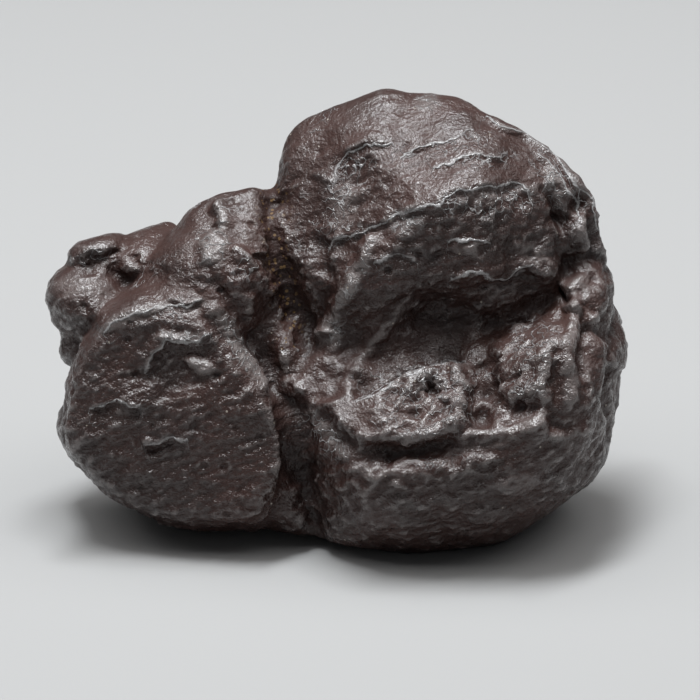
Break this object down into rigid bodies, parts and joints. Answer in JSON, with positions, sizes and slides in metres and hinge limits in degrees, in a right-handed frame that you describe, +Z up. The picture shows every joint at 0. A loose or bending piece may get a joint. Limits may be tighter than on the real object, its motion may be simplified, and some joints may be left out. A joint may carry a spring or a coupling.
{
  "type": "limonite concretion cluster",
  "caption": "Dark brown iron-oxide stone of rounded nodules grown together, lying on a worn flat of its underside.",
  "frame": {"origin": "middle of the plan's bounding box, at the level of the worn flat that the stone rests on", "axes": "+X towards the right end as seen from the front, the longest extent; -Y towards the front face with the hollow and the shelf; +Z up"},
  "size_m": [0.0809, 0.0426, 0.058],
  "materials": {
    "limonite": "semi-gloss dark brown limonite, glossy on the raised edges"
  },
  "bodies": {
    "root": {"concretion_cluster": "limonite"}
  },
  "joints": []
}
